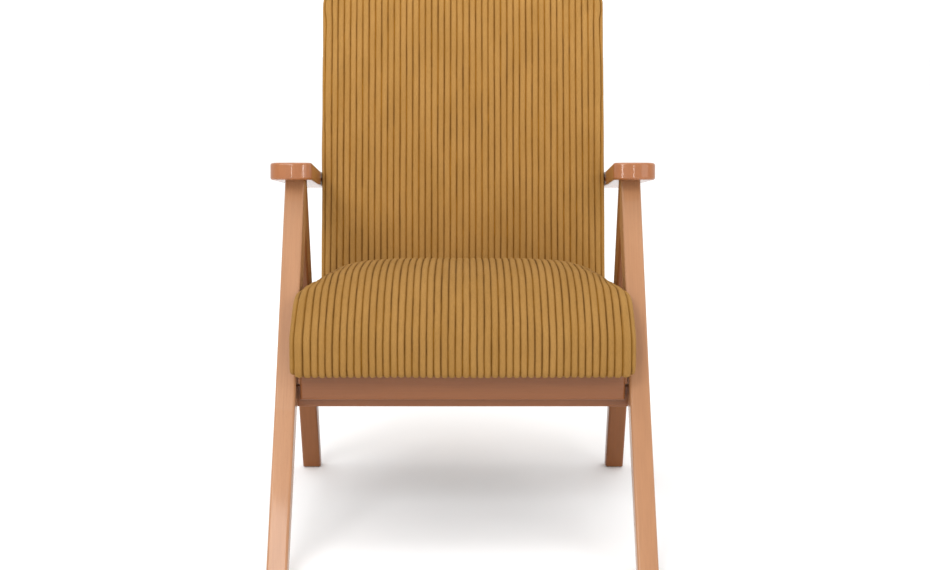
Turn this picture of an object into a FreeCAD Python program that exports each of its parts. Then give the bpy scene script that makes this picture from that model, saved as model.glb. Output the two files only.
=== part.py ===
"""Low armchair: beech side frames shaped like an upside-down V, an upholstered seat and an upholstered back.

Millimetres, +Z up, +Y to the rear, X across. The sides are mirror images in the plane X = 0, and "left" is -X.
The model is drawn with Y = 0 at the front edge of the front feet. At the end everything moves so that the origin
is on the floor at the middle of the chair's bounding box.
"""
import FreeCAD
import Part

import math
import os

from FreeCAD import Placement, Rotation, Vector

# ---- driving dimensions ----------------------------------------------------------------------------------------
LEG_OUTER = 295.0           # half the width over the legs
LEG_THICK = 32.0            # legs, measured across the chair
LEG_INNER = LEG_OUTER - LEG_THICK
LEG_MID = LEG_OUTER - LEG_THICK / 2
GLIDE_THICK = 2.0
EASE = 4.0                  # small round-over on bare wood

FRONT_LEG_FOOT = 0.0        # Y of the front leg's front edge at the floor
FRONT_LEG_KNEE = (166.0, 228.0)     # (Y, Z) where the front edge turns slightly
FRONT_LEG_LEAN = 0.668      # rearward travel per rise above the knee
FOOT_FRONT_WIDTH = 33.0     # leg widths along Y
KNEE_WIDTH = 45.5
REAR_FOOT = (575.0, 600.6)  # Y of the rear leg's front and rear edges at the floor
REAR_LEAN = 0.3005          # forward travel per rise of the rear leg's rear edge
CROTCH = (394.0, 473.0)     # (Y, Z) where the two legs of a side part

ARM_NOSE = (340.0, 567.5)   # (Y, Z) of the armrest's underside at its front end
ARM_SLOPE = 9.9             # degrees, down to the rear
ARM_THICK = 28.0
ARM_LENGTH = 468.0
ARM_INNER_FRONT = 245.5     # half-gap between the armrests at the front
ARM_INNER_REAR = 263.0      # and where they pass the back
ARM_OUTER_FRONT = 316.0
ARM_OUTER_REAR = 309.0
ARM_FIT_AT = 362.0          # distance from the nose to where the inner edge reaches the back

SEAT_PIVOT = (191.0, 237.0)  # (Y, Z) of the front board's lower front edge
SEAT_TILT = 5.5             # degrees, down to the rear
BOARD_HALF = 257.0
BOARD_THICK = 16.0
BOARD_HEIGHT = 46.0
FRONT_RAIL = (18.0, 34.0)   # depth and height of the front cross rail
FRONT_RAIL_DROP = 13.0      # below the front board
REAR_RAIL = (22.0, 40.0)
REAR_RAIL_AT = 327.0
BEARER = (213.0, 235.0)     # |x| of the seat bearers' faces
BEARER_END = 485.0

CUSHION_HALF = 262.5        # between the legs
CUSHION_FRONT_HALF = 268.0  # in front of the legs, where the cushion is free to spread
CUSHION_OVERHANG = 42.0     # in front of the front board
CUSHION_BASE_ROUND = 16.0   # lower front edge
CUSHION_CHEST = (112.0, 60.0)       # height where the front starts to slope back, and its round-over
CUSHION_BROW = (26.0, 187.0, 80.0)      # (along, up) where the slope meets the top, and its round-over
CUSHION_CREST = (235.0, 203.0, 1100.0)  # (along, up) of the top's ridge, and its round-over
CUSHION_REAR_TOP = 178.0
CUSHION_SIDE_ROUND = 15.0
COVER_THICK = 2.0
FRAME_INSET = 12.0          # wooden seat frame inside the cover
FRAME_WIDTH = 35.0
FRAME_HEIGHT = 28.0
FRAME_REAR = 404.0
WIRE_RADIUS = 1.9
WIRE_HALF_WIDTH = 12.0      # straight part of a zigzag run, half
WIRE_RUNS = 15
WIRE_LANDING = 8.0          # each end rests this far onto its frame member
WIRE_COUNT = 5
WIRE_SPACING = 92.0
FELT_THICK = 3.0

BACK_PIVOT = (640.0, 375.0)  # (Y, Z) on the back's front surface, at the height of the seat's top
BACK_LEAN = 16.0            # degrees from upright
BACK_HALF = 262.0
BACK_BOTTOM = -118.0        # along the back, from the pivot
BACK_TOP = 520.0
BACK_THICK = 70.0
BACK_CORNER = 42.0
BACK_EDGE_ROUND = 14.0
STILE = (235.0, 257.0)      # |x| of the stiles' faces
STILE_FRONT = 33.0          # behind the back's front surface
STILE_DEPTH = 32.0
STILE_BOTTOM = -175.0
BACK_RAIL_HEIGHT = 42.0
BACK_RAIL_DEPTH = 22.0
STRAP = (50.0, 1.5)
STRAP_COUNT = 6

DOWEL_RADIUS = 4.0
SIDES = {"left": -1.0, "right": 1.0}

pieces = {}


# ---- helpers ---------------------------------------------------------------------------------------------------
def prism(points, x_low, x_high):
    """A solid with an outline given as (y, z) points, from x_low to x_high."""
    corners = [Vector(x_low, y, z) for y, z in points]
    face = Part.Face(Part.makePolygon(corners + [corners[0]]))
    return face.extrude(Vector(x_high - x_low, 0, 0))


def block(x, y, z):
    """A box between pairs of limits."""
    return Part.makeBox(x[1] - x[0], y[1] - y[0], z[1] - z[0], Vector(x[0], y[0], z[0]))


def rod(start, direction, length, radius):
    return Part.makeCylinder(radius, length, Vector(*start), Vector(*direction))


def on_side(shape, side):
    """A shape drawn for +X, or its mirror image for the left side."""
    return shape if SIDES[side] > 0 else shape.mirror(Vector(0, 0, 0), Vector(1, 0, 0))


def both(shape):
    return [shape, on_side(shape, "left")]


def tilted(shape, pivot, degrees):
    """Moves a shape from a tilted unit's own axes (X, along, up) to the chair's."""
    moved = shape.copy()
    moved.Placement = Placement(Vector(0, *pivot), Rotation(Vector(1, 0, 0), -degrees)).multiply(moved.Placement)
    return moved


def on_seat(shape):
    return tilted(shape, SEAT_PIVOT, SEAT_TILT)


def on_back(shape):
    return tilted(shape, BACK_PIVOT, BACK_LEAN)


def on_arm(shape):
    return tilted(shape, ARM_NOSE, ARM_SLOPE)


def rounded(shape, radius, wanted):
    """Rounds the edges for which wanted(edge) is true."""
    edges = [edge for edge in shape.Edges if wanted(edge)]
    return shape.makeFillet(radius, edges)


def along_x(edge):
    ends = [v.Point for v in edge.Vertexes]
    return len(ends) == 2 and abs(ends[0].y - ends[1].y) < 0.01 and abs(ends[0].z - ends[1].z) < 0.01


def cut(shape, tools):
    return shape.cut(Part.makeCompound(tools)) if tools else shape


def add(name, shapes):
    """Stores a node: one solid, or a group of separate ones."""
    if not isinstance(shapes, list):
        shapes = [shapes]
    solids = [solid for shape in shapes for solid in shape.Solids]
    pieces[name] = solids[0] if len(solids) == 1 else Part.makeCompound(solids)


def screw(tip_to_head, radius, head_radius, length, socket=0.0):
    """A fastener along +Z from its tip at the origin, with a head on top of its shank."""
    shank = Part.makeCylinder(radius, length)
    head = Part.makeCylinder(head_radius, tip_to_head, Vector(0, 0, length))
    body = shank.fuse(head).removeSplitter()
    if socket:
        recess = Part.makeCylinder(socket, tip_to_head * 0.6, Vector(0, 0, length + tip_to_head * 0.4))
        body = body.cut(recess)
    return body


def aimed(shape, position, direction):
    """Turns a shape drawn along +Z to a direction and moves it to a position."""
    moved = shape.copy()
    moved.Placement = Placement(Vector(*position), Rotation(Vector(0, 0, 1), Vector(*direction)))
    return moved


# ---- side frames -----------------------------------------------------------------------------------------------
def arm_underside(y):
    return ARM_NOSE[1] - (y - ARM_NOSE[0]) * math.tan(math.radians(ARM_SLOPE))


def front_edge(z):
    return FRONT_LEG_KNEE[0] + (z - FRONT_LEG_KNEE[1]) * FRONT_LEG_LEAN


def rear_edge(z):
    return REAR_FOOT[1] - z * REAR_LEAN


def meet_arm(edge):
    """Where a leg's edge line runs into the armrest's underside."""
    z = arm_underside(400.0)
    for _ in range(20):
        z = arm_underside(edge(z))
    return (edge(z), z)


def make_legs():
    floor = GLIDE_THICK
    front_top = meet_arm(front_edge)
    rear_top = meet_arm(rear_edge)
    seam_y = (front_top[0] + rear_top[0]) / 2
    seam_top = (seam_y, arm_underside(seam_y))
    knee_y, knee_z = FRONT_LEG_KNEE
    foot_lean = (knee_y - FRONT_LEG_FOOT) / knee_z
    rear_front_lean = (REAR_FOOT[0] - CROTCH[0]) / CROTCH[1]
    front_outline = [
        (FRONT_LEG_FOOT + foot_lean * floor, floor),
        FRONT_LEG_KNEE,
        front_top,
        seam_top,
        CROTCH,
        (knee_y + KNEE_WIDTH, knee_z),
        (FRONT_LEG_FOOT + FOOT_FRONT_WIDTH + foot_lean * floor, floor),
    ]
    rear_outline = [
        (REAR_FOOT[0] - rear_front_lean * floor, floor),
        CROTCH,
        seam_top,
        rear_top,
        (rear_edge(floor), floor),
    ]

    def eased(edge):
        """True for the long edges, but not at the foot, under the armrest or along the glue line."""
        middle = edge.CenterOfMass
        under_arm = middle.z > CROTCH[1] + 60 and edge.Length < 70
        on_seam = abs((middle.y - CROTCH[0]) * (seam_top[1] - CROTCH[1])
                      - (middle.z - CROTCH[1]) * (seam_top[0] - CROTCH[0])) < 1.0
        return not (along_x(edge) or middle.z < floor + 1 or under_arm or on_seam)

    front = rounded(prism(front_outline, LEG_INNER, LEG_OUTER), EASE, eased)
    rear = rounded(prism(rear_outline, LEG_INNER, LEG_OUTER), EASE, eased)
    return front, rear, seam_top


def seam_dowels(seam_top):
    """Two dowels square to the glue line where the legs meet."""
    run = (seam_top[0] - CROTCH[0], seam_top[1] - CROTCH[1])
    length = math.hypot(*run)
    normal = (run[1] / length, -run[0] / length)
    half = 20.0
    dowels = []
    for share in (0.26, 0.52):
        y = CROTCH[0] + run[0] * share
        z = CROTCH[1] + run[1] * share
        dowels.append(rod((LEG_MID, y - normal[0] * half, z - normal[1] * half),
                          (0, normal[0], normal[1]), 2 * half, DOWEL_RADIUS))
    return dowels


def arm_dowels(seam_top):
    """One dowel up from the top of each leg into the armrest, square to its underside."""
    slope = math.radians(ARM_SLOPE)
    up = (0, math.sin(slope), math.cos(slope))
    dowels = []
    for offset in (-13.5, 13.5):
        y = seam_top[0] + offset
        z = arm_underside(y)
        depth = 20.0
        start = (LEG_MID, y - up[1] * depth, z - up[2] * depth)
        dowels.append(rod(start, up, depth + 16.0, DOWEL_RADIUS))
    return dowels


def corner_arc(start, end, turn):
    """An arc between two plan points that turns by an angle in degrees, bulging away from the board's middle."""
    chord = end - start
    middle = (start + end) / 2
    outward = Vector(chord.y, -chord.x, 0).normalize()
    if outward.y > 0:
        outward = -outward
    sagitta = chord.Length / 2 * math.tan(math.radians(turn) / 4)
    return Part.Arc(start, middle + outward * sagitta, end).toShape()


def make_armrest():
    """A board with a broad rounded nose, its inner edge tapering out to pass the side of the back."""
    nose_half = 20.0
    nose_drop = 2.2
    nose_turn = 12.7
    outer_start = Vector(LEG_MID + nose_half, nose_drop, 0)
    inner_start = Vector(LEG_MID - nose_half, nose_drop, 0)
    outer_end = Vector(ARM_OUTER_FRONT, 22.0, 0)
    inner_end = Vector(ARM_INNER_FRONT + 1.0, 19.3, 0)
    nose = Part.Arc(inner_start, Vector(LEG_MID, 0, 0), outer_start).toShape()
    outer_corner = corner_arc(outer_start, outer_end, 90.0 - nose_turn)
    inner_corner = corner_arc(inner_start, inner_end, 92.7 - nose_turn)
    straight = [
        outer_end,
        Vector(ARM_OUTER_REAR, ARM_LENGTH, 0),
        Vector(ARM_INNER_REAR, ARM_LENGTH, 0),
        Vector(ARM_INNER_REAR, ARM_FIT_AT, 0),
        inner_end,
    ]
    sides = [Part.makeLine(a, b) for a, b in zip(straight, straight[1:])]
    outline = Part.Wire(Part.__sortEdges__([nose, outer_corner, inner_corner] + sides))
    board = Part.Face(outline).extrude(Vector(0, 0, ARM_THICK))
    ends = [edge for edge in board.Edges if abs(edge.tangentAt(edge.FirstParameter).z) > 0.9
            and edge.CenterOfMass.y > ARM_LENGTH - 1]
    board = board.makeFillet(8.0, ends)
    rims = [edge for edge in board.Edges if abs(edge.tangentAt(edge.FirstParameter).z) < 0.1]
    return on_arm(board.makeFillet(4.0, rims))


def make_side_frames():
    front, rear, seam_top = make_legs()
    seam = seam_dowels(seam_top)
    tops = arm_dowels(seam_top)
    rail_pins = rail_dowels()
    armrest = make_armrest()
    bolt_bore, cap_bore = arm_bolt_bores()
    front = cut(front, seam + tops + rail_pins)
    rear = cut(rear, seam + tops + rail_pins)
    armrest = cut(armrest, tops + [bolt_bore, cap_bore])
    for side in SIDES:
        add("front_leg_" + side, on_side(front, side))
        add("rear_leg_" + side, on_side(rear, side))
        add("armrest_" + side, on_side(armrest, side))
    add("leg_dowels", [shape for dowel in seam for shape in both(dowel)])
    add("armrest_dowels", [shape for dowel in tops for shape in both(dowel)])


def make_glides():
    foot_lean = FRONT_LEG_KNEE[0] / FRONT_LEG_KNEE[1]
    front_y = FRONT_LEG_FOOT + FOOT_FRONT_WIDTH / 2 + foot_lean * GLIDE_THICK
    rear_y = (REAR_FOOT[0] + REAR_FOOT[1]) / 2
    glides = []
    for y, radius in ((front_y, 12.0), (rear_y, 10.5)):
        glide = Part.makeCylinder(radius, GLIDE_THICK, Vector(LEG_MID, y, 0))
        glides += both(glide)
    add("foot_glides", glides)


# ---- bolts between armrests and back ---------------------------------------------------------------------------
ARM_JOINT_RISE = 158.2      # along the back from the pivot: the middle of the armrest's thickness
ARM_BOLT_RADIUS = 3.0
ARM_BOLT_HEAD = (6.5, 5.0)  # radius, height
ARM_COUNTERBORE = 12.0
INSERT = (5.0, 13.0)        # radius and length of a threaded insert


def arm_bolt_place():
    """(Y, Z) of the bolt from an armrest into the middle of a stile."""
    lean = math.radians(BACK_LEAN)
    depth = STILE_FRONT + STILE_DEPTH / 2
    y = BACK_PIVOT[0] + ARM_JOINT_RISE * math.sin(lean) + depth * math.cos(lean)
    z = BACK_PIVOT[1] + ARM_JOINT_RISE * math.cos(lean) - depth * math.sin(lean)
    return y, z


def arm_bolt_bores():
    """The bore right through the armrest, and the wider one for the bolt's head and cap."""
    y, z = arm_bolt_place()
    bore = rod((ARM_INNER_REAR - 5.0, y, z), (1, 0, 0), 60.0, ARM_BOLT_RADIUS)
    floor_x = ARM_OUTER_REAR - ARM_COUNTERBORE
    counterbore = rod((floor_x, y, z), (1, 0, 0), 40.0, ARM_BOLT_HEAD[0])
    return bore, counterbore


def make_arm_bolts():
    y, z = arm_bolt_place()
    head_x = ARM_OUTER_REAR - ARM_COUNTERBORE
    length = head_x - (STILE[1] - INSERT[1])
    bolt = screw(ARM_BOLT_HEAD[1], ARM_BOLT_RADIUS, ARM_BOLT_HEAD[0], length, socket=2.6)
    bolt = aimed(bolt, (STILE[1] - INSERT[1], y, z), (1, 0, 0))
    cap_start = head_x + ARM_BOLT_HEAD[1]
    cap = rod((cap_start, y, z), (1, 0, 0), ARM_COUNTERBORE - ARM_BOLT_HEAD[1] - 0.5, ARM_BOLT_HEAD[0])
    insert = rod((STILE[1] - INSERT[1], y, z), (1, 0, 0), INSERT[1], INSERT[0]).cut(bolt)
    add("armrest_bolts", both(bolt))
    add("armrest_bolt_caps", both(cap))
    add("armrest_insert_nuts", both(insert))


# ---- rails and front board -------------------------------------------------------------------------------------
def front_rail_box(half):
    depth, height = FRONT_RAIL
    return block((-half, half), (BOARD_THICK, BOARD_THICK + depth), (-FRONT_RAIL_DROP, height - FRONT_RAIL_DROP))


def rear_rail_box(half):
    depth, height = REAR_RAIL
    return block((-half, half), (REAR_RAIL_AT, REAR_RAIL_AT + depth), (-height, 0))


def rail_dowels():
    """Two dowels at each end of each cross rail, drawn for +X."""
    half_length = 18.0
    front_mid = BOARD_THICK + FRONT_RAIL[0] / 2 - 1.0
    rear_mid = REAR_RAIL_AT + REAR_RAIL[0] / 2
    spots = [(front_mid - 2.0, 0.0), (front_mid + 1.0, 12.0), (rear_mid, -30.0), (rear_mid, -12.0)]
    start = LEG_INNER - half_length
    return [on_seat(rod((start, u, w), (1, 0, 0), 2 * half_length, DOWEL_RADIUS)) for u, w in spots]


def board_screws():
    """From the front cross rail's rear face into the front board."""
    length = 22.0
    head = 2.5
    screws = []
    for x in (-180.0, -60.0, 60.0, 180.0):
        tip_u = BOARD_THICK + FRONT_RAIL[0] - head - length
        screws.append(on_seat(aimed(screw(head, 2.0, 4.0, length), (x, tip_u, 8.0), (0, 1, 0))))
    return screws


def bearer_screws():
    """Up through each cross rail into the bearers."""
    x = sum(BEARER) / 2
    head = 3.0
    spots = [(BOARD_THICK + FRONT_RAIL[0] / 2, -FRONT_RAIL_DROP, FRONT_RAIL[1] + 14.0),
             (REAR_RAIL_AT + REAR_RAIL[0] / 2, -REAR_RAIL[1], REAR_RAIL[1] + 18.0)]
    screws = []
    for u, bottom, reach in spots:
        screws.append(on_seat(aimed(screw(head, 2.25, 4.5, reach - head), (x, u, bottom + reach), (0, 0, -1))))
    return screws


def seat_bolt_places():
    x = (BEARER[0] + BEARER[1]) / 2
    return [(x, 110.0), (x, 290.0)]


SEAT_BOLT_SINK = 20.0


def seat_bolts():
    """Up through each bearer into the seat frame's side members."""
    head = 5.0
    length = BOARD_HEIGHT - SEAT_BOLT_SINK + COVER_THICK + 18.0
    shape = screw(head, 3.0, 5.0, length, socket=2.5)
    return [on_seat(aimed(shape, (x, u, SEAT_BOLT_SINK + length), (0, 0, -1))) for x, u in seat_bolt_places()]


def seat_bolt_bores():
    """The deep counterbores that take the bolts' heads."""
    return [on_seat(rod((x, u, -1.0), (0, 0, 1), SEAT_BOLT_SINK + 1.0, 5.0)) for x, u in seat_bolt_places()]


def back_bolt_places():
    """(along, depth) of the two bolts between a bearer and a stile, in the back's own axes."""
    middle = STILE_FRONT + STILE_DEPTH / 2
    return [(-139.0, middle), (-163.0, middle)]


def back_bolts():
    """From the bearer's inner face out into the stile."""
    head = 4.0
    tip = STILE[1] - 6.0
    length = tip - BEARER[0]
    shape = screw(head, 3.0, 6.0, length, socket=2.5)
    return [on_back(aimed(shape, (tip, depth, along), (-1, 0, 0))) for along, depth in back_bolt_places()]


def make_rails():
    board = on_seat(rounded(
        block((-BOARD_HALF, BOARD_HALF), (0, BOARD_THICK), (0, BOARD_HEIGHT)),
        EASE, lambda edge: edge.CenterOfMass.y < 0.01))
    all_pins = [shape for pin in rail_dowels() for shape in both(pin)]
    into_board = board_screws()
    upward = [shape for fastener in bearer_screws() for shape in both(fastener)]
    front_rail = on_seat(rounded(front_rail_box(LEG_INNER), 2.0, along_x))
    rear_rail = on_seat(rounded(rear_rail_box(LEG_INNER), 2.0,
                                lambda edge: along_x(edge) and edge.CenterOfMass.z < -1))
    add("front_board", cut(board, into_board))
    add("front_cross_rail", cut(front_rail, all_pins + into_board + upward))
    add("rear_cross_rail", cut(rear_rail, all_pins + upward))
    add("rail_dowels", all_pins)
    add("front_board_screws", into_board)
    add("bearer_screws", upward)

    bearer = on_seat(block(BEARER, (BOARD_THICK, BEARER_END), (0, BOARD_HEIGHT)))
    notch = on_seat(front_rail_box(LEG_INNER))
    bearer = cut(bearer, [notch] + bearer_screws() + seat_bolts() + seat_bolt_bores() + back_bolts())
    for side in SIDES:
        add("seat_bearer_" + side, on_side(bearer, side))
    add("seat_bolts", [shape for fastener in seat_bolts() for shape in both(fastener)])
    add("back_bolts", [shape for fastener in back_bolts() for shape in both(fastener)])


# ---- seat unit -------------------------------------------------------------------------------------------------
def back_plane_along(w):
    """Distance along the seat, at height w above the board's lower edge, where the back's front surface is."""
    tilt = math.radians(SEAT_TILT)
    slope = math.tan(math.radians(BACK_LEAN))
    y0, z0 = SEAT_PIVOT
    # y = y0 + u cos + w sin and z = z0 - u sin + w cos, with y = back_y + (z - back_z) * slope
    constant = BACK_PIVOT[0] + (z0 + w * math.cos(tilt) - BACK_PIVOT[1]) * slope - y0 - w * math.sin(tilt)
    return constant / (math.cos(tilt) + math.sin(tilt) * slope)


def in_seat_axes(y, z):
    """A point of the chair's side view as (along, up) in the seat's own axes."""
    tilt = math.radians(SEAT_TILT)
    y -= SEAT_PIVOT[0]
    z -= SEAT_PIVOT[1]
    return y * math.cos(tilt) - z * math.sin(tilt), y * math.sin(tilt) + z * math.cos(tilt)


def leg_room(inset):
    """What is cut from one side of the cushion behind the front leg's front edge."""
    ahead = 1.5 + inset
    low_u, low_w = in_seat_axes(front_edge(230.0) - ahead, 230.0)
    high_u, high_w = in_seat_axes(front_edge(480.0) - ahead, 480.0)
    far = 600.0
    outline = [(low_u, low_w), (high_u, high_w), (far, high_w), (far, low_w)]
    return prism(outline, CUSHION_HALF - inset, CUSHION_HALF + 40.0)


def drawn_in(outline, inset):
    """The corners of a convex outline with every side moved inwards. The corners run clockwise."""
    corners = [Vector(y, z, 0) for y, z in outline]
    moved = []
    for before, corner, after in zip(corners[-1:] + corners[:-1], corners, corners[1:] + corners[:1]):
        first = (corner - before).normalize()
        second = (after - corner).normalize()
        inward = Vector(first.y, -first.x, 0) + Vector(second.y, -second.x, 0)
        point = corner + inward * (inset / (1 + first.dot(second)))
        moved.append((point.x, point.y))
    return moved


def cushion_block(inset):
    """The seat's outer shape, or the same shape a given distance inside it: a sloping front and a crowned top."""
    half = CUSHION_FRONT_HALF - inset
    front = -CUSHION_OVERHANG
    outline = drawn_in([
        (front, BOARD_HEIGHT),
        (front, CUSHION_CHEST[0]),
        CUSHION_BROW[:2],
        CUSHION_CREST[:2],
        (back_plane_along(CUSHION_REAR_TOP), CUSHION_REAR_TOP),
        (back_plane_along(BOARD_HEIGHT), BOARD_HEIGHT),
    ], inset)
    body = prism(outline, -half, half)
    radii = (CUSHION_BASE_ROUND, CUSHION_CHEST[1], CUSHION_BROW[2], CUSHION_CREST[2])
    for (along, up), radius in zip(outline, radii):
        corner = Vector(0, along, up)
        body = rounded(body, radius - inset,
                       lambda edge: along_x(edge) and (edge.CenterOfMass - corner).Length < 0.01)
    body = rounded(body, CUSHION_SIDE_ROUND - inset, lambda edge: abs(abs(edge.CenterOfMass.x) - half) < 0.01)
    return cut(body, both(leg_room(inset)))


def frame_limits():
    half = CUSHION_HALF - FRAME_INSET
    front = -CUSHION_OVERHANG + FRAME_INSET
    low = BOARD_HEIGHT + COVER_THICK
    return half, front, low, low + FRAME_HEIGHT


def make_seat_frame():
    half, front, low, high = frame_limits()
    inner_half = half - FRAME_WIDTH
    front_member = block((-half, half), (front, front + FRAME_WIDTH), (low, high))
    rear_member = block((-half, half), (FRAME_REAR - FRAME_WIDTH, FRAME_REAR), (low, high))
    side_member = block((inner_half, half), (front + FRAME_WIDTH, FRAME_REAR - FRAME_WIDTH), (low, high))
    rounded_room = cushion_block(COVER_THICK)
    add("seat_frame_front", on_seat(front_member.common(rounded_room)))
    add("seat_frame_rear", on_seat(rear_member.common(rounded_room)))
    side_placed = cut(on_seat(side_member.common(rounded_room)), seat_bolts())
    for side in SIDES:
        add("seat_frame_" + side, on_side(side_placed, side))

    leg = 48.0
    blocks = []
    for u, inward in ((front + FRAME_WIDTH, 1.0), (FRAME_REAR - FRAME_WIDTH, -1.0)):
        corner = Vector(inner_half, u, low)
        outline = [corner, corner - Vector(leg, 0, 0), corner + Vector(0, inward * leg, 0), corner]
        triangle = Part.Face(Part.makePolygon(outline))
        blocks += both(on_seat(triangle.extrude(Vector(0, 0, FRAME_HEIGHT - 4.0))))
    add("seat_corner_blocks", blocks)


def zigzag_wire(x, start, height, pitch):
    """The centre line of one sinuous spring: straight runs across, joined by half circles."""
    radius = pitch / 2
    reach = WIRE_HALF_WIDTH
    edges = []
    for run in range(WIRE_RUNS):
        u = start + run * pitch
        side = 1.0 if run % 2 == 0 else -1.0
        a = Vector(x - side * reach, u, height)
        b = Vector(x + side * reach, u, height)
        edges.append(Part.makeLine(a, b))
        if run < WIRE_RUNS - 1:
            bend = Vector(x + side * (reach + radius), u + radius, height)
            edges.append(Part.Arc(b, bend, Vector(b.x, u + pitch, height)).toShape())
    return Part.Wire(edges)


def make_springs():
    half, front, _, high = frame_limits()
    clip_height = WIRE_RADIUS + 1.5
    height = high + clip_height
    start = front + FRAME_WIDTH - WIRE_LANDING
    end = FRAME_REAR - FRAME_WIDTH + WIRE_LANDING
    pitch = (end - start) / (WIRE_RUNS - 1)
    wires = []
    clips = []
    for index in range(WIRE_COUNT):
        x = (index - (WIRE_COUNT - 1) / 2) * WIRE_SPACING
        path = zigzag_wire(x, start, height, pitch)
        wire_end = Vector(x - WIRE_HALF_WIDTH, start, height)
        section = Part.Wire(Part.makeCircle(WIRE_RADIUS, wire_end, Vector(1, 0, 0)))
        wires.append(on_seat(path.makePipeShell([section], True, False)))
        for u, outward in ((start, -1.0), (end, 1.0)):
            ring = rod((x - 8.0, u, height), (1, 0, 0), 16.0, clip_height)
            base_far = u + outward * 13.0
            base = block((x - 8.0, x + 8.0), (min(u, base_far), max(u, base_far)), (high, high + 1.5))
            bore = rod((x - 9.0, u, height), (1, 0, 0), 18.0, WIRE_RADIUS)
            clips.append(on_seat(ring.fuse(base).cut(bore).removeSplitter()))
    add("seat_springs", wires)
    add("seat_spring_clips", clips)
    felt_low = height + clip_height + 0.2
    felt_inset = 14.0
    felt = block((-half + felt_inset, half - felt_inset), (front + felt_inset, FRAME_REAR - felt_inset),
                 (felt_low, felt_low + FELT_THICK))
    add("seat_felt", on_seat(felt))
    return felt_low + FELT_THICK


def make_seat_upholstery(foam_base):
    half, front, low, _ = frame_limits()
    inner = cushion_block(COVER_THICK)
    frame_room = block((-half, half), (front, FRAME_REAR + 30.0), (low - 1, foam_base))
    foam = inner.cut(frame_room)
    add("seat_foam", on_seat(foam))

    opening_margin = 24.0
    opening = block((-half + opening_margin, half - opening_margin),
                    (front + opening_margin, FRAME_REAR - opening_margin),
                    (BOARD_HEIGHT - 1, low + 1))
    shell = cushion_block(0.0).cut(inner).cut(opening)
    bolts = [shape for fastener in seat_bolts() for shape in both(fastener)]
    add("seat_cover", cut(on_seat(shell), bolts))

    sheet_inset = opening_margin + 0.2
    sheet = block((-half + sheet_inset, half - sheet_inset), (front + sheet_inset, FRAME_REAR - sheet_inset),
                  (low - 1.0, low))
    add("seat_dust_cover", cut(on_seat(sheet), bolts))


# ---- back unit -------------------------------------------------------------------------------------------------
def back_block(inset):
    """The back's outer shape in its own axes (X, depth, along), or the same shape a given distance inside it."""
    half = BACK_HALF - inset
    low = BACK_BOTTOM + inset
    top = BACK_TOP - inset
    body = block((-half, half), (inset, BACK_THICK - inset), (low, top))
    corners = [edge for edge in body.Edges if abs(edge.tangentAt(0).y) > 0.9 and edge.CenterOfMass.z > top - 1]
    body = body.makeFillet(BACK_CORNER - inset, corners)
    front_rim = [edge for edge in body.Edges if abs(edge.CenterOfMass.y - inset) < 0.01]
    body = body.makeFillet(BACK_EDGE_ROUND - inset, front_rim)
    rear_rim = [edge for edge in body.Edges if abs(edge.CenterOfMass.y - (BACK_THICK - inset)) < 0.01]
    return body.makeFillet(6.0 - inset, rear_rim)


def back_rail_spans():
    """(name, lowest, highest) of each rail between the stiles."""
    bottom = BACK_BOTTOM + COVER_THICK + 3.0
    middle = ARM_JOINT_RISE + 21.0
    top = BACK_TOP - COVER_THICK - 12.0
    return [("bottom", bottom, bottom + BACK_RAIL_HEIGHT),
            ("middle", middle, middle + BACK_RAIL_HEIGHT),
            ("top", top - BACK_RAIL_HEIGHT, top)]


def make_back_frame():
    stile_rear = STILE_FRONT + STILE_DEPTH
    stile_top = back_rail_spans()[-1][2]
    stile = block(STILE, (STILE_FRONT, stile_rear), (STILE_BOTTOM, stile_top))
    outer_top = [edge for edge in stile.Edges if abs(edge.tangentAt(0).y) > 0.9
                 and edge.CenterOfMass.z > stile_top - 1 and edge.CenterOfMass.x > STILE[1] - 1]
    stile = on_back(stile.makeFillet(21.0, outer_top))
    rail_front = STILE_FRONT + (STILE_DEPTH - BACK_RAIL_DEPTH) / 2
    pins = []
    for name, low, high in back_rail_spans():
        for along in (low + 11.0, high - 11.0):
            pins.append(on_back(rod((STILE[0] - 20.0, rail_front + BACK_RAIL_DEPTH / 2, along), (1, 0, 0),
                                    34.0, DOWEL_RADIUS)))
    all_pins = [shape for pin in pins for shape in both(pin)]
    for name, low, high in back_rail_spans():
        rail = block((-STILE[0], STILE[0]), (rail_front, rail_front + BACK_RAIL_DEPTH), (low, high))
        add("back_rail_" + name, cut(on_back(rail), all_pins))
    y, z = arm_bolt_place()
    insert_room = rod((STILE[1] - INSERT[1], y, z), (1, 0, 0), INSERT[1], INSERT[0])
    stile = cut(stile, pins + back_bolts() + [insert_room])
    for side in SIDES:
        add("back_stile_" + side, on_side(stile, side))
    add("back_dowels", all_pins)
    panel = block((-STILE[1], STILE[1]), (stile_rear, stile_rear + 2.5), (BACK_BOTTOM + 8.0, stile_top - 24.0))
    add("back_panel", on_back(panel))

    width, thick = STRAP
    straps = []
    first = BACK_BOTTOM + 45.0
    pitch = (BACK_TOP - 60.0 - first - width) / (STRAP_COUNT - 1)
    for index in range(STRAP_COUNT):
        low = first + index * pitch
        straps.append(on_back(block((-STILE[1] + 3.0, STILE[1] - 3.0), (STILE_FRONT - thick, STILE_FRONT),
                                    (low, low + width))))
    add("back_webbing", straps)


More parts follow.
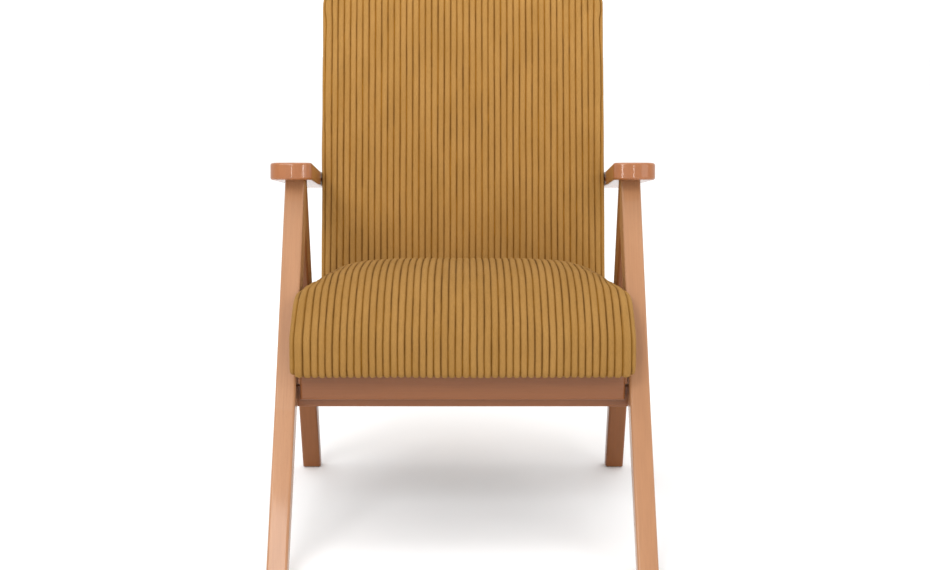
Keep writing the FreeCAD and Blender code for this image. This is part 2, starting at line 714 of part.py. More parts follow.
def make_back_upholstery():
    inner = back_block(COVER_THICK)
    room_half = STILE[1]
    stile_top = back_rail_spans()[-1][2]
    room = block((-room_half, room_half), (STILE_FRONT - STRAP[1] - 0.3, BACK_THICK), (BACK_BOTTOM - 1, stile_top))
    foam = on_back(inner.cut(room))
    shell = on_back(back_block(0.0).cut(inner))
    clear = 0.3
    stile_room = on_back(block((STILE[0] - clear, STILE[1] + clear),
                               (STILE_FRONT - clear, STILE_FRONT + STILE_DEPTH + clear),
                               (BACK_BOTTOM - 5.0, BACK_BOTTOM + 10.0)))
    y, z = arm_bolt_place()
    bolt_room = rod((STILE[1] - 1.0, y, z), (1, 0, 0), 10.0, ARM_BOLT_RADIUS)
    rooms = both(stile_room) + both(bolt_room)
    add("back_foam", cut(foam, rooms))
    add("back_cover", cut(shell, rooms))


# ---- the whole chair -------------------------------------------------------------------------------------------
def main():
    make_side_frames()
    make_glides()
    make_rails()
    make_seat_frame()
    foam_base = make_springs()
    make_seat_upholstery(foam_base)
    make_back_frame()
    make_back_upholstery()
    make_arm_bolts()

    whole = Part.makeCompound(list(pieces.values())).optimalBoundingBox(False)
    shift = Vector(0, -(whole.YMin + whole.YMax) / 2, 0)
    os.makedirs("parts", exist_ok=True)
    for old in os.listdir("parts"):
        if old.endswith(".step") and old[:-5] not in pieces:
            os.remove(os.path.join("parts", old))
    for name, shape in pieces.items():
        placed = shape.copy()
        placed.translate(shift)
        placed.exportStep(os.path.join("parts", name + ".step"))
    print(len(pieces), "nodes; size", round(whole.XLength, 1), round(whole.YLength, 1), round(whole.ZLength, 1),
          "; front feet at y =", round(shift.y, 2))


main()
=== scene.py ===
"""A low beech armchair dressed for rendering: lacquered beech, and a seat and back in wide-wale corduroy.

The cushions are blown up by a cloth simulation. Panels of ribbed cloth are then laid over the simulated
form, one grid row at a time, so that each rib of the corduroy is real geometry. Metres throughout.
"""
import math
from collections import namedtuple

import bmesh
import bpy
import numpy as np
from mathutils import Matrix, Vector, noise
from mathutils.bvhtree import BVHTree


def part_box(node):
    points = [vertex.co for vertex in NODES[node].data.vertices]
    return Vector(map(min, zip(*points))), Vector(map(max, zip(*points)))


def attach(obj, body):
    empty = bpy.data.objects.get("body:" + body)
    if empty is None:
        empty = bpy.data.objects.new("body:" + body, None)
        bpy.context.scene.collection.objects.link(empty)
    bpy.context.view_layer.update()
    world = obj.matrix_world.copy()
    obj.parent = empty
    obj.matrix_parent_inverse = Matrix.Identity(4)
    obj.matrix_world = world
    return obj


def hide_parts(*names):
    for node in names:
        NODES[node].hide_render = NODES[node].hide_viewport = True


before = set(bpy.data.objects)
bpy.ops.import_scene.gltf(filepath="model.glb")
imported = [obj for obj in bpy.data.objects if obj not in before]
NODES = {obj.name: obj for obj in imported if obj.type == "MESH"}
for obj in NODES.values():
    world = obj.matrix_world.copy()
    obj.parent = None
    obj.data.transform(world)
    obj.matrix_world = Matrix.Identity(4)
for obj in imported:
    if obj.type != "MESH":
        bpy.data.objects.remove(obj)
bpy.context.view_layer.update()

SEAT_TILT = math.radians(5.5)       # the seat slopes down to the rear
BACK_LEAN = math.radians(16.0)      # the back leans to the rear
ARM_SLOPE = math.radians(9.9)       # the armrests slope down to the rear
FRONT_LEG_LEAN = math.atan(0.668)
REAR_LEG_LEAN = math.radians(-18.5)

KNEE = (0.166, 0.228)               # where a front leg's front edge turns: behind the feet's front, and up
CAD_SQUEEZE = 0.0055                # how much narrower each side of the CAD seat is between the legs
BETWEEN_LEGS = 0.2609               # half the seat's width where it passes between the legs
BEFORE_LEGS = 0.2685                # and in front of them, where it is free to spread
SQUEEZE_AHEAD = 0.026               # how far in front of the legs it has spread fully
SQUEEZE_INWARD = 0.060              # how far in from its sides it gives way

SEAT_FALL = (0.006, 0.040)          # how far the seat's top falls at its sides, at the front and at the rear
SEAT_FALL_POWER = (8.0, 5.2)        # and how suddenly, at the front and at the rear
BROW_DROP = 0.012                   # how much lower the brow is than the foam's, where it is softest
BROW_AT = 0.062                     # behind the seat's front
BROW_WIDTH = 0.050
LIP_DROP = 0.0045                   # how far the lower front edge hangs down
BACK_CROWN = 0.004                  # how much fuller the back's front is in the middle

RIB_PITCH = 0.0114
RIB_HEIGHT = 0.0032
RIB_STEPS = (0.0, 0.08, 0.19, 0.33, 0.5, 0.67, 0.81, 0.92)     # shares of the pitch at which it is sampled
RIB_WANDER = (0.0007, 0.0004)       # how far ribs stray sideways, slowly and quickly
RIB_PLUMPNESS = 0.16                # share by which a rib's height varies along it
CLOTH_WAVES = 0.0009                # slow unevenness of a main panel
SIDE_WAVES = 0.0006                 # and of a side panel
ARC_STEPS = 9
SEAM_TUCK = 0.0045                  # how far the cloth is drawn in at a seam
SEAM_WIDTH = 0.004
SEAM_SHADE = 0.003                  # width over which a seam darkens the crests
SEAM_GAP = 0.0004                   # between a side panel's outermost ribs and the outline
HEM_DEPTHS = (0.020, 0.010, 0.001)  # how far in under the frame the rows of a folded hem lie
HEM_SHADE_LEVEL = 0.6                     # colour of a hem between groove and crest, darker than the crests as painted shade under the frame
SIDE_STEP = 0.010                   # spacing of a side panel's points along its ribs
MAIN_SEED = 11.0
SIDE_SEED = 23.0

VOXEL = 0.006
PRESSURE = 4.0
SIM_FRAMES = 20
SMOOTH_ROUNDS = 3

BEECH_COLOURS = ((0.400, 0.200, 0.098), (0.360, 0.172, 0.079), (0.310, 0.139, 0.059))      # pale to deep
CREST_COLOURS = ((0.350, 0.183, 0.050), (0.405, 0.217, 0.064))
# The groove colours are painted shade: the grooves between the ribs are painted darker than the crests.
GROOVE_SHADE_COLOURS = ((0.075, 0.025, 0.001), (0.185, 0.074, 0.004))

collection = bpy.context.scene.collection

# What the panels of one cushion share: the tilt of the unit's own axes, the simulated form to cast rays at,
# half its width, the radius and the angle in radians of the main panel's turn over each side, the axis that
# the side panels' ribs run along (1 or 2), fit(points), which moves the finished cloth's points in the
# chair's axes, the material, and the height at which the side panels fold under, or None.
Cushion = namedtuple("Cushion", "name angle tree half side_round side_angle along fit cloth hem")


# ---- geometry helpers ----------------------------------------------------------------------------
def turned(angle):
    """From a tilted unit's own axes (x, along to the rear, up) to the chair's."""
    return Matrix.Rotation(-angle, 3, "X")


def turned_box(node, angle):
    """Lowest and highest corner of a CAD node measured in a tilted unit's own axes."""
    back = turned(angle).transposed()
    points = np.array([back @ v.co for v in NODES[node].data.vertices])
    return Vector(points.min(0)), Vector(points.max(0))


def new_object(name, vertices, faces, smooth=True):
    mesh = bpy.data.meshes.new(name)
    mesh.from_pydata([tuple(v) for v in vertices], [], faces)
    mesh.update()
    if smooth:
        mesh.polygons.foreach_set("use_smooth", [True] * len(mesh.polygons))
    piece = bpy.data.objects.new(name, mesh)
    collection.objects.link(piece)
    return piece


def bake_modifiers(piece):
    """Applies a piece's modifiers as they stand at the current frame."""
    graph = bpy.context.evaluated_depsgraph_get()
    mesh = bpy.data.meshes.new_from_object(piece.evaluated_get(graph))
    piece.modifiers.clear()
    old = piece.data
    piece.data = mesh
    bpy.data.meshes.remove(old)


def coordinates(mesh):
    flat = np.zeros(len(mesh.vertices) * 3)
    mesh.vertices.foreach_get("co", flat)
    return flat.reshape(-1, 3)


# ---- materials -----------------------------------------------------------------------------------
class Nodes:
    """A material under construction, with short calls for the nodes that it needs."""

    def __init__(self, name):
        self.material = bpy.data.materials.new(name)
        self.material.use_nodes = True
        self.tree = self.material.node_tree
        self.shader = self.tree.nodes["Principled BSDF"]

    def add(self, kind, **settings):
        node = self.tree.nodes.new(kind)
        for key, value in settings.items():
            setattr(node, key, value)
        return node

    def link(self, source, target):
        self.tree.links.new(source, target)

    def place(self, scale=(1.0, 1.0, 1.0), rotation=(0.0, 0.0, 0.0)):
        """Object coordinates, turned and then stretched."""
        coords = self.add("ShaderNodeTexCoord")
        turn = self.add("ShaderNodeMapping")
        turn.inputs["Rotation"].default_value = rotation
        stretch = self.add("ShaderNodeMapping")
        stretch.inputs["Scale"].default_value = scale
        self.link(coords.outputs["Object"], turn.inputs["Vector"])
        self.link(turn.outputs["Vector"], stretch.inputs["Vector"])
        return stretch.outputs["Vector"]

    def noise(self, vector, scale, detail=3.0, roughness=0.5, distortion=0.0):
        node = self.add("ShaderNodeTexNoise")
        node.inputs["Scale"].default_value = scale
        node.inputs["Detail"].default_value = detail
        node.inputs["Roughness"].default_value = roughness
        node.inputs["Distortion"].default_value = distortion
        self.link(vector, node.inputs["Vector"])
        return node.outputs["Fac"]

    def ramp(self, factor, *stops):
        node = self.add("ShaderNodeValToRGB")
        elements = node.color_ramp.elements
        while len(elements) < len(stops):
            elements.new(0.5)
        for element, (position, colour) in zip(elements, stops):
            element.position = position
            element.color = (*colour, 1.0) if isinstance(colour, tuple) else (colour, colour, colour, 1.0)
        self.link(factor, node.inputs["Fac"])
        return node.outputs["Color"]

    def mix(self, factor, first, second, blend="MIX"):
        node = self.add("ShaderNodeMix", data_type="RGBA", blend_type=blend)
        for socket, value in ((node.inputs[0], factor), (node.inputs[6], first), (node.inputs[7], second)):
            if isinstance(value, tuple):
                socket.default_value = (*value, 1.0)
            elif isinstance(value, float):
                socket.default_value = value
            else:
                self.link(value, socket)
        return node.outputs[2]

    def math(self, operation, first, second):
        node = self.add("ShaderNodeMath", operation=operation)
        for socket, value in ((node.inputs[0], first), (node.inputs[1], second)):
            if isinstance(value, float):
                socket.default_value = value
            else:
                self.link(value, socket)
        return node.outputs[0]

    def bump(self, height, distance, strength=1.0, normal=None):
        node = self.add("ShaderNodeBump")
        node.inputs["Strength"].default_value = strength
        node.inputs["Distance"].default_value = distance
        self.link(height, node.inputs["Height"])
        if normal is not None:
            self.link(normal, node.inputs["Normal"])
        return node.outputs["Normal"]

    def finish(self, colour=None, roughness=None, normal=None, **constants):
        shader = self.shader
        for socket, value in (("Base Color", colour), ("Roughness", roughness)):
            if value is None:
                continue
            if isinstance(value, tuple):
                shader.inputs[socket].default_value = (*value, 1.0)
            elif isinstance(value, float):
                shader.inputs[socket].default_value = value
            else:
                self.link(value, shader.inputs[socket])
        if normal is not None:
            self.link(normal, shader.inputs["Normal"])
        for socket, value in constants.items():
            shader.inputs[socket.replace("_", " ")].default_value = value
        return self.material


def toned(colours, tone):
    """The colours multiplied by a tone, channel by channel."""
    return [tuple(share * level for share, level in zip(tone, colour)) for colour in colours]


def beech(name, rotation, tone=(1.0, 1.0, 1.0), coat=0.4, offset=0.0):
    """Beech with its grain along Z once turned by the rotation: colour bands, pores and short ray flecks.

    The coat is how much clear lacquer is on it, from 0 to 1, and the offset changes the pattern.
    """
    # A tone below 1 darkens every colour; dress_frame passes such tones as painted shade.
    pale, middle, deep = toned(BEECH_COLOURS, tone)
    n = Nodes(name)
    bands = n.noise(n.place((9.0, 9.0, 1.1), rotation), 1.0 + offset, 4.0, 0.55, 0.8)
    fine = n.noise(n.place((420.0, 420.0, 9.0), rotation), 1.0, 3.0, 0.6)
    flecks = n.noise(n.place((900.0, 900.0, 110.0), rotation), 1.0, 1.0, 0.5)
    colour = n.ramp(bands, (0.25, deep), (0.5, middle), (0.78, pale))
    grain = n.ramp(fine, (0.3, 0.84), (0.62, 1.0))
    colour = n.mix(0.55, colour, grain, "MULTIPLY")
    fleck = n.ramp(flecks, (0.60, 0.0), (0.70, 1.0))
    colour = n.mix(n.math("MULTIPLY", fleck, 0.30), colour, deep)
    normal = n.bump(n.math("ADD", n.math("MULTIPLY", fine, 0.6), fleck), 0.00012, 0.35)
    gloss = n.ramp(bands, (0.2, 0.34), (0.8, 0.42))
    return n.finish(colour, gloss, normal, Coat_Weight=coat, Coat_Roughness=0.07, Specular_IOR_Level=0.30)


def frame_timber(name, rotation):
    """Plain sawn softwood for the hidden frames."""
    n = Nodes(name)
    rings = n.noise(n.place((60.0, 60.0, 2.0), rotation), 1.0, 3.0, 0.6, 0.6)
    fibres = n.noise(n.place((600.0, 600.0, 20.0), rotation), 1.0, 2.0, 0.6)
    colour = n.ramp(rings, (0.3, (0.60, 0.40, 0.20)), (0.55, (0.70, 0.52, 0.30)), (0.75, (0.50, 0.31, 0.14)))
    colour = n.mix(0.35, colour, n.ramp(fibres, (0.3, 0.7), (0.7, 1.0)), "MULTIPLY")
    return n.finish(colour, 0.8, n.bump(fibres, 0.0003, 0.5))


def corduroy(name, angle, crest_light_and_shade, groove_light_and_shade):
    """Wide-wale cotton corduroy. The mesh carries "rib", 0 in a groove and 1 on a crest, for its colours, so
    the grooves get painted shade.
    """
    n = Nodes(name)
    rotation = (angle, 0.0, 0.0)
    rib = n.add("ShaderNodeAttribute", attribute_name="rib").outputs["Fac"]
    pile = n.noise(n.place((1.0, 1.0, 1.0), rotation), 2600.0, 2.0, 0.7)
    tufts = n.noise(n.place((620.0, 150.0, 150.0), rotation), 1.0, 3.0, 0.65)
    patches = n.noise(n.place((26.0, 9.0, 9.0), rotation), 1.0, 4.0, 0.6)
    # The crest and groove tones lighten or darken a copy of the cloth as painted light and shade.
    dull, fresh = toned(CREST_COLOURS, (crest_light_and_shade,) * 3)
    crest = n.ramp(patches, (0.3, dull), (0.7, fresh))
    # Groove colours are painted shade, darker where a groove is closed and lighter where it is stretched
    # open.
    stretches = n.noise(n.place((90.0, 11.0, 11.0), rotation), 1.0, 3.0, 0.7)
    closed, opened = toned(GROOVE_SHADE_COLOURS, (groove_light_and_shade,) * 3)
    groove = n.ramp(stretches, (0.40, closed), (0.62, opened))
    colour = n.mix(n.ramp(rib, (0.05, 0.0), (0.72, 1.0)), groove, crest)
    colour = n.mix(0.40, colour, n.ramp(tufts, (0.28, 0.66), (0.68, 1.0)), "MULTIPLY")
    colour = n.mix(0.35, colour, n.ramp(pile, (0.3, 0.62), (0.7, 1.0)), "MULTIPLY")
    normal = n.bump(n.math("ADD", pile, n.math("MULTIPLY", tufts, 1.4)), 0.00035, 0.7)
    return n.finish(colour, 0.93, normal, Sheen_Weight=0.05, Sheen_Roughness=0.42,
                    Sheen_Tint=(1.0, 0.72, 0.32, 1.0), Specular_IOR_Level=0.04)


def cloth(name, colour, scale, sheen=0.1, contrast=0.6):
    """A plain woven or matted cloth: crossed threads and a little fuzz."""
    n = Nodes(name)
    warp = n.noise(n.place((scale, scale * 0.12, scale * 0.12)), 1.0, 1.0)
    weft = n.noise(n.place((scale * 0.12, scale, scale)), 1.0, 1.0)
    weave = n.math("MULTIPLY", n.math("ADD", warp, weft), 0.5)
    dark = tuple(channel * contrast for channel in colour)
    shade = n.ramp(weave, (0.38, dark), (0.62, colour))
    return n.finish(shade, 0.95, n.bump(weave, 0.0004, 0.6), Sheen_Weight=sheen, Specular_IOR_Level=0.15)


def steel(name, colour, roughness):
    """Metal with a faint mottle in its colour and in its roughness."""
    n = Nodes(name)
    mottle = n.noise(n.place((300.0, 300.0, 300.0)), 1.0, 3.0)
    shade = n.mix(0.25, colour, n.ramp(mottle, (0.3, 0.6), (0.7, 1.0)), "MULTIPLY")
    gloss = n.ramp(mottle, (0.3, roughness * 0.8), (0.7, roughness * 1.2))
    return n.finish(shade, gloss, n.bump(mottle, 0.0001, 0.3), Metallic=1.0)


def fibreboard(name):
    """Pressed brown fibres."""
    n = Nodes(name)
    fibres = n.noise(n.place((900.0, 900.0, 900.0)), 1.0, 4.0, 0.7)
    colour = n.ramp(fibres, (0.3, (0.22, 0.13, 0.07)), (0.7, (0.38, 0.25, 0.14)))
    return n.finish(colour, 0.85, n.bump(fibres, 0.0003, 0.5))


def moulded_plastic(name, colour):
    """Plastic with the slight orange peel of a mould."""
    n = Nodes(name)
    orange_peel = n.noise(n.place((700.0, 700.0, 700.0)), 1.0, 2.0)
    shade = n.mix(0.15, colour, n.ramp(orange_peel, (0.3, 0.7), (0.7, 1.0)), "MULTIPLY")
    return n.finish(shade, 0.55, n.bump(orange_peel, 0.0001, 0.4))


ALONG_X = (0.0, math.radians(90.0), 0.0)


def leaning(angle):
    """Rotation that lays a piece's length, leaning to the rear by an angle, along Z."""
    return (angle, 0.0, 0.0)


def dress_frame():
    """Gives each CAD node the material whose key is the longest that fits its name, or zinc-plated steel."""
    flat = math.radians(90.0)
    along_arm = leaning(flat + ARM_SLOPE)
    # The tones below darken the wood as painted shade. One is for the armrests and caps, whose fronts get
    # less light. One is for the front board and front rail under the seat's overhang. One is for the rear
    # legs, rear rail, bearers and stiles.
    arm_painted_shade_tone = (0.80, 0.57, 0.36)
    deep = (0.54, 0.385, 0.245)
    painted_shade_tone = (0.60, 0.44, 0.28)
    grains = {
        "front_leg": beech("beech_front_legs", leaning(FRONT_LEG_LEAN)),
        "rear_leg": beech("beech_rear_legs", leaning(REAR_LEG_LEAN), painted_shade_tone, coat=0.12, offset=0.35),
        "armrest_left": beech("beech_armrest_left", along_arm, arm_painted_shade_tone, coat=0.5, offset=0.2),
        "armrest_right": beech("beech_armrest_right", along_arm, arm_painted_shade_tone, coat=0.5, offset=0.6),
        "armrest_bolt_caps": beech("beech_caps", along_arm, arm_painted_shade_tone, coat=0.5, offset=0.9),
        "front_board": beech("beech_board", ALONG_X, deep, coat=0.1),
        "front_cross_rail": beech("beech_front_rail", ALONG_X, deep, coat=0.1, offset=0.5),
        "rear_cross_rail": beech("beech_rear_rail", ALONG_X, painted_shade_tone, coat=0.2, offset=0.8),
        "seat_bearer": beech("beech_bearers", leaning(flat + SEAT_TILT), painted_shade_tone, coat=0.0),
        "back_stile": beech("beech_stiles", leaning(BACK_LEAN), painted_shade_tone, coat=0.0),
        "back_rail": frame_timber("timber_back_rails", ALONG_X),
        "seat_frame_front": frame_timber("timber_seat_front", ALONG_X),
        "seat_frame_rear": frame_timber("timber_seat_rear", ALONG_X),
        "seat_frame": frame_timber("timber_seat_sides", leaning(flat + SEAT_TILT)),
        "seat_corner": frame_timber("timber_corners", (0.0, 0.0, 0.0)),
        "dowels": frame_timber("timber_dowels", (0.0, 0.0, 0.0)),
        "seat_felt": cloth("grey_felt", (0.30, 0.29, 0.27), 900.0, 0.3),
        "seat_dust_cover": cloth("black_lining", (0.035, 0.034, 0.033), 1500.0, 0.1),
        "back_webbing": cloth("black_webbing", (0.06, 0.045, 0.04), 1100.0, 0.15),
        "back_panel": fibreboard("fibreboard"),
        "seat_springs": steel("spring_steel", (0.20, 0.19, 0.18), 0.35),
        "foot_glides": moulded_plastic("glide_plastic", (0.45, 0.36, 0.26)),
    }
    zinc = steel("zinc_steel", (0.62, 0.62, 0.60), 0.32)
    for name, node in NODES.items():
        fits = [key for key in grains if name.startswith(key) or key in name]
        material = grains[max(fits, key=len)] if fits else zinc
        if not node.material_slots:
            node.data.materials.append(material)
        for slot in node.material_slots:
            slot.material = material


# ---- cushions ------------------------------------------------------------------------------------
def start_form(name, node, angle, room, reshape):
    """A closed, evenly meshed copy of a cushion, drawn in from the CAD faces by (low, high) on each axis.

    The copy is in the unit's own axes, and reshape(point) may move each corner of it first.
    """
    low, high = turned_box(node, angle)
    back = turned(angle).transposed()
    form = bmesh.new()
    for vertex in NODES[node].data.vertices:
        form.verts.new(reshape(back @ vertex.co))
    hull = bmesh.ops.convex_hull(form, input=form.verts)
    spare = hull["geom_interior"] + hull["geom_unused"]
    loose = {item for item in spare if isinstance(item, bmesh.types.BMVert)}
    bmesh.ops.delete(form, geom=list(loose), context="VERTS")
    for vertex in form.verts:
        for axis, (at_low, at_high) in enumerate(room):
            share = (vertex.co[axis] - low[axis]) / (high[axis] - low[axis])
            vertex.co[axis] += at_low * (1.0 - share) - at_high * share
    mesh = bpy.data.meshes.new(name)
    form.to_mesh(mesh)
    form.free()
    piece = bpy.data.objects.new(name, mesh)
    collection.objects.link(piece)
    remesh = piece.modifiers.new("even", "REMESH")
    remesh.mode = "VOXEL"
    remesh.voxel_size = VOXEL
    bpy.context.view_layer.update()
    bake_modifiers(piece)
    return piece


def blow_up(piece, is_held, cap):
    """Cloth under pressure: the free cloth swells by up to the cap. Held points stay, and so does cloth that
    the pressure would draw inwards near an edge, because the foam under it doesn't give way."""
    start = coordinates(piece.data)
    flat = np.zeros(len(start) * 3)
    piece.data.vertices.foreach_get("normal", flat)
    outward = flat.reshape(-1, 3)
    pins = piece.vertex_groups.new(name="held")
    for index, point in enumerate(start):
        weight = is_held(point)
        if weight > 0.0:
            pins.add([index], weight, "REPLACE")
    modifier = piece.modifiers.new("cloth", "CLOTH")
    settings = modifier.settings
    settings.quality = 5
    settings.mass = 0.4
    settings.tension_stiffness = 25.0
    settings.compression_stiffness = 25.0
    settings.shear_stiffness = 12.0
    settings.bending_stiffness = 2.0
    settings.use_pressure = True
    settings.uniform_pressure_force = PRESSURE
    settings.vertex_group_mass = "held"
    settings.effector_weights.gravity = 0.0
    modifier.point_cache.frame_start = 1
    modifier.point_cache.frame_end = SIM_FRAMES
    for step in range(1, SIM_FRAMES + 1):
        bpy.context.scene.frame_set(step)
    bake_modifiers(piece)
    bpy.context.scene.frame_set(1)
    swollen = coordinates(piece.data)
    rise = np.sum((swollen - start) * outward, axis=1, keepdims=True)
    eased = cap * np.tanh(np.maximum(rise, 0.0) / cap)
    swollen = start + outward * eased
    print(piece.name, "swelled by up to", round(float(rise.max()) * 1000, 1), "mm, capped at", cap * 1000)
    piece.data.vertices.foreach_set("co", swollen.ravel())
    piece.data.update()


def smooth_out(piece):
    """Takes the voxels' steps out of a form."""
    smooth = piece.modifiers.new("smooth", "SMOOTH")
    smooth.factor = 0.5
    smooth.iterations = SMOOTH_ROUNDS
    bake_modifiers(piece)


def path_of(stations):
    """Rows of (origin, direction) through stations of (p, q, angle, steps to the next), angle in degrees."""
    rows = []
    for (p0, q0, a0, steps), (p1, q1, a1, _) in zip(stations, stations[1:]):
        for step in range(steps):
            t = step / steps
            angle = math.radians(a0 + (a1 - a0) * t)
            rows.append((p0 + (p1 - p0) * t, q0 + (q1 - q0) * t, math.cos(angle), math.sin(angle)))
    p, q, angle, _ = stations[-1]
    rows.append((p, q, math.cos(math.radians(angle)), math.sin(math.radians(angle))))
    return rows


def rib_profile(phase):
    """Height of a rib, from 0 in the groove to 1 on the crest: a rounded back with steep sides."""
    return (1.0 - abs(2.0 * phase - 1.0) ** 2.1) ** 0.75


def columns_across(width):
    """(position, share of rib height, rib number) of each grid column across a width."""
    count = 2 * round(width / RIB_PITCH / 2)
    pitch = width / count
    columns = []
    for rib in range(count):
        for share in RIB_STEPS:
            columns.append((-width / 2 + (rib + share) * pitch, rib_profile(share), rib))
    columns.append((width / 2, 0.0, count - 1))
    return columns


def tuck(distance):
    """How far cloth is drawn in at a distance from a seam."""
    return SEAM_TUCK * math.exp(-(distance / SEAM_WIDTH) ** 2)


def crest_level(height, distance):
    """The "rib" value of a point: its share of rib height, less near a seam as painted shade in the seam's
    tuck.
    """
    return height * min(1.0, distance / SEAM_SHADE + 0.1)


def uneven(*place):
    """Smooth noise between about -1 and 1."""
    return noise.noise(Vector(place))


def hit(tree, origin, direction):
    """Where a ray meets a form, or the form's nearest point when it misses."""
    point = tree.ray_cast(Vector(origin), Vector(direction).normalized())[0]
    if point is None:
        point = tree.find_nearest(Vector(origin))[0]
    return point


def grid_object(name, cushion, points, heights):
    """Rows of points as one smooth sheet, in the chair's axes, with the rib heights as an attribute."""
    rows, columns = len(points), len(points[0])
    flat = np.array([tuple(p) for row in points for p in row])
    vertices = cushion.fit(flat @ np.array(turned(cushion.angle)).T)
    faces = []
    for r in range(rows - 1):
        for c in range(columns - 1):
            a = r * columns + c
            faces.append((a, a + 1, a + columns + 1, a + columns))
    piece = new_object(name, vertices, faces)
    attribute = piece.data.attributes.new("rib", "FLOAT", "POINT")
    attribute.data.foreach_set("value", [h for row in heights for h in row])
    return piece


def main_panel(cushion, stations):
    """The long panel that wraps over a cushion, and its border on each side.

    Its ribs run along the path and its columns across it, over both side edges.
    """
    flat = cushion.half - cushion.side_round
    reach = flat + cushion.side_round * cushion.side_angle
    columns = columns_across(2 * reach)
    slow, quick = RIB_WANDER
    points, heights = [], []
    for row, (p, q, dp, dq) in enumerate(path_of(stations)):
        ahead = Vector((0.0, dp, dq))
        turning_about = {}
        for side in (-1.0, 1.0):
            surface = hit(cushion.tree, (side * flat, p, q), ahead)
            turning_about[side] = surface - ahead * cushion.side_round
        line, levels = [], []
        for s, height, rib in columns:
            wander = slow * uneven(rib * 0.37 + MAIN_SEED, row * 0.055, 1.7)
            wander += quick * uneven(rib * 3.1 + MAIN_SEED, row * 0.21, 4.2)
            turn = max(0.0, abs(s) - flat) / cushion.side_round
            side = math.copysign(1.0, s)
            direction = Vector((side * math.sin(turn), dp * math.cos(turn), dq * math.cos(turn)))
            origin = turning_about[side] if turn > 0.0 else (s + wander, p, q)
            plump = 1.0 + RIB_PLUMPNESS * uneven(rib * 1.9 + MAIN_SEED, row * 0.10, 8.8)
            to_seam = reach - abs(s)
            rise = RIB_HEIGHT * (height * plump - 0.5) - tuck(to_seam)
            rise += CLOTH_WAVES * uneven(s * 9.0 + MAIN_SEED, row * 0.09, 3.0)
            line.append(hit(cushion.tree, origin, direction) + direction * rise)
            levels.append(crest_level(height, to_seam))
        points.append(line)
        heights.append(levels)
    border = {-1: [line[0] for line in points], 1: [line[-1] for line in points]}
    return grid_object(cushion.name + "_main_panel", cushion, points, heights), border


def span_of(loop, level):
    """Lowest and highest first coordinate at which a closed loop of (t, level) points crosses a level."""
    following = np.roll(loop, -1, axis=0)
    crossing = (loop[:, 1] - level) * (following[:, 1] - level) <= 0
    a, b = loop[crossing], following[crossing]
    rise = b[:, 1] - a[:, 1]
    rise = np.where(np.abs(rise) < 1e-9, 1e-9, rise)
    cuts = a[:, 0] + (b[:, 0] - a[:, 0]) * np.clip((level - a[:, 1]) / rise, 0.0, 1.0)
    return cuts.min(), cuts.max()


def side_panel(name, cushion, outline, side):
    """The panel in one side of a cushion. Its edge is the outline, a loop of points on the border of the main
    panel, and with a hem it also folds under at that height."""
    along = cushion.along
    across = 3 - along
    loop = np.array([(p[along], p[across]) for p in outline])
    low = loop[:, 1].min() + SEAM_GAP
    high = loop[:, 1].max() - SEAM_GAP
    inner_x = side * (min(abs(p[0]) for p in outline) - 0.03)
    steps = max(12, round(np.ptp(loop[:, 0]) / SIDE_STEP))
    seed = SIDE_SEED + side
    points, heights = [], []
    for s, height, rib in columns_across(high - low):
        level = (low + high) / 2 + s
        start, end = span_of(loop, level)
        line, levels = [], []
        for step in range(steps + 1):
            t = start + (end - start) * (0.5 - 0.5 * math.cos(math.pi * step / steps))
            origin = [inner_x, 0.0, 0.0]
            origin[along], origin[across] = t, level
            to_seam = min(t - start, end - t, level - low, high - level)
            lift = RIB_HEIGHT * (height - 0.5) - tuck(max(to_seam, 0.0))
            lift += SIDE_WAVES * uneven(rib * 0.8 + seed, t * 9.0, 5.0)
            line.append(hit(cushion.tree, origin, (side, 0.0, 0.0)) + Vector((side * lift, 0.0, 0.0)))
            levels.append(crest_level(height, to_seam))
        points.append(line)
        heights.append(levels)
    if cushion.hem is not None:
        edge = points[0]
        for depth in reversed(HEM_DEPTHS):
            points.insert(0, [Vector((p.x - side * depth, p.y, cushion.hem)) for p in edge])
            heights.insert(0, [HEM_SHADE_LEVEL] * len(edge))
    return grid_object(name, cushion, points, heights)


def swollen_tree(name, node, angle, room, reshape, crown, is_held, cap, limit):
    """The simulated form of a cushion, no wider than the limit, as something to cast rays at. The form itself
    isn't kept."""
    form = start_form(name, node, angle, room, reshape)
    points = coordinates(form.data)
    crown(points)
    form.data.vertices.foreach_set("co", points.ravel())
    form.data.update()
    blow_up(form, is_held, cap)
    smooth_out(form)
    points = coordinates(form.data)
    points[:, 0] = np.clip(points[:, 0], -limit, limit)
    polygons = [tuple(face.vertices) for face in form.data.polygons]
    tree = BVHTree.FromPolygons([Vector(p) for p in points], polygons)
    bpy.data.objects.remove(form)
    return tree


def dress_cushion(cushion, replaced, stations):
    """Lays the main panel and both side panels over a simulated form, in place of the CAD nodes."""
    main, border = main_panel(cushion, stations)
    made = [main]
    for side, word in ((-1, "left"), (1, "right")):
        outline = border[side]
        if cushion.hem is not None:
            outline = outline + [Vector((end.x, end.y, cushion.hem)) for end in (outline[-1], outline[0])]
        made.append(side_panel(f"{cushion.name}_side_panel_{word}", cushion, outline, side))
    for piece in made:
        piece.data.materials.append(cushion.cloth)
        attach(piece, "root")
    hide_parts(*replaced)


def before_legs(points, feet_front):
    """How far points in the chair's axes are in front of the plane of the front legs' front edges."""
    edge = feet_front + KNEE[0] + math.tan(FRONT_LEG_LEAN) * (points[..., 2] - KNEE[1])
    return (edge - points[..., 1]) * math.cos(FRONT_LEG_LEAN)


def eased_step(value, low, high):
    """0 below low, 1 above high, and a smooth rise between them. Takes numbers and arrays."""
    share = np.clip((value - low) / (high - low), 0.0, 1.0)
    return share * share * (3.0 - 2.0 * share)


def between(ends, share):
    """The value at a share of the way from one end to the other."""
    return ends[0] + (ends[1] - ends[0]) * share


